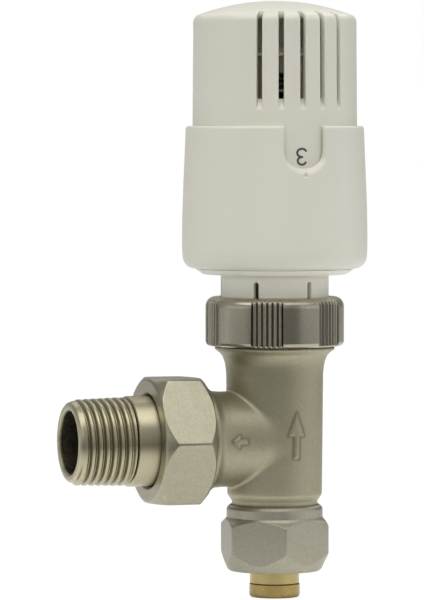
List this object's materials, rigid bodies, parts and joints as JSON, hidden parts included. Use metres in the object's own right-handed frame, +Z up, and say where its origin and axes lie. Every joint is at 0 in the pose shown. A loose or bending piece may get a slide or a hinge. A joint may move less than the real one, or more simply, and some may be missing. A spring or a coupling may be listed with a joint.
{
  "type": "thermostatic radiator valve",
  "caption": "Angle thermostatic radiator valve: turning sensor head on a forged angle body with a union tail to the radiator and a compression inlet for the pipe.",
  "frame": {"origin": "the centre of the pipe socket's mouth, at the bottom of the reducer, on the vertical inlet axis; the outlet axis crosses it 38.4 mm higher", "axes": "+Z up through the sensor head and the dial's axis; the radiator tail points to -X; the index window and its numeral face -Y"},
  "size_m": [0.075, 0.045, 0.1445],
  "materials": {
    "white_plastic": "semi-gloss moulded, very fine texture",
    "grey_plastic": "matt moulded",
    "dark_plastic": "matt moulded",
    "nickel_brass": "satin nickel plate over forged and turned brass",
    "bare_brass": "turned",
    "copper": "turned copper alloy",
    "stainless": "ground stainless steel",
    "spring_steel": "drawn stainless wire",
    "capsule_metal": "drawn aluminium can",
    "seal_rubber": "EPDM"
  },
  "bodies": {
    "valve": {"valve_body": "nickel_brass", "headwork": "bare_brass", "headwork_oring": "seal_rubber", "gland_nut": "bare_brass", "gland_oring": "seal_rubber", "guide_bush": "bare_brass", "return_spring": "spring_steel", "head_base": "white_plastic", "index_collar": "white_plastic", "cap_retaining_ring": "spring_steel"},
    "dial": {"temperature_cap": "white_plastic"},
    "carrier": {"sensor_carrier": "grey_plastic", "spring_cap": "white_plastic", "overtravel_spring": "spring_steel", "sensor_capsule": "capsule_metal"},
    "pushrod": {"push_rod": "dark_plastic", "spindle": "stainless", "spindle_clip": "stainless", "plug_holder": "bare_brass", "plug_washer": "seal_rubber", "plug_nut": "bare_brass"},
    "washer": {"slip_washer": "dark_plastic"},
    "ring_nut": {"ring_nut": "nickel_brass"},
    "tail": {"tail_piece": "nickel_brass", "union_oring": "seal_rubber"},
    "union_nut": {"union_nut": "nickel_brass"},
    "reducer": {"pipe_reducer": "bare_brass", "olive": "bare_brass", "reducer_ferrule": "copper"},
    "compression_nut": {"compression_nut": "nickel_brass"}
  },
  "joints": [
    {"name": "dial_turn", "type": "hinge", "parent": "valve", "child": "dial", "pos_m": [0, 0, 0.1084], "axis": [0, 0, 1], "range_deg": [-180, 90]},
    {"name": "carrier_slide", "type": "slide", "parent": "valve", "child": "carrier", "axis": [0, 0, 1], "range_m": [-0.00121, 0.00061]},
    {"name": "thermal_stroke", "type": "slide", "parent": "carrier", "child": "pushrod", "axis": [0, 0, -1], "range_m": [-0.0008, 0.0009], "deforming": ["return_spring"]},
    {"name": "ring_nut_rise", "type": "slide", "parent": "valve", "child": "washer", "axis": [0, 0, 1], "range_m": [0, 0.00451]},
    {"name": "ring_nut_turn", "type": "hinge", "parent": "washer", "child": "ring_nut", "pos_m": [0, 0, 0.0664], "axis": [0, 0, 1], "range_deg": [0, 1080]},
    {"name": "tail_withdraw", "type": "slide", "parent": "valve", "child": "tail", "axis": [-1, 0, 0], "range_m": [0, 0.00727]},
    {"name": "union_nut_turn", "type": "hinge", "parent": "tail", "child": "union_nut", "pos_m": [-0.026, 0, 0.0384], "axis": [-1, 0, 0], "range_deg": [0, 1440]},
    {"name": "reducer_withdraw", "type": "slide", "parent": "valve", "child": "reducer", "axis": [0, 0, -1], "range_m": [0, 0.00546]},
    {"name": "compression_nut_turn", "type": "hinge", "parent": "reducer", "child": "compression_nut", "pos_m": [0, 0, 0.0144], "axis": [0, 0, -1], "range_deg": [0, 1080]}
  ],
  "couplings": [
    {"joint": "carrier_slide", "follows": "dial_turn", "m_per_rad": 0.00038197},
    {"joint": "ring_nut_rise", "follows": "ring_nut_turn", "m_per_rad": 0.00023873},
    {"joint": "tail_withdraw", "follows": "union_nut_turn", "m_per_rad": 0.00028871},
    {"joint": "reducer_withdraw", "follows": "compression_nut_turn", "m_per_rad": 0.00028871}
  ]
}
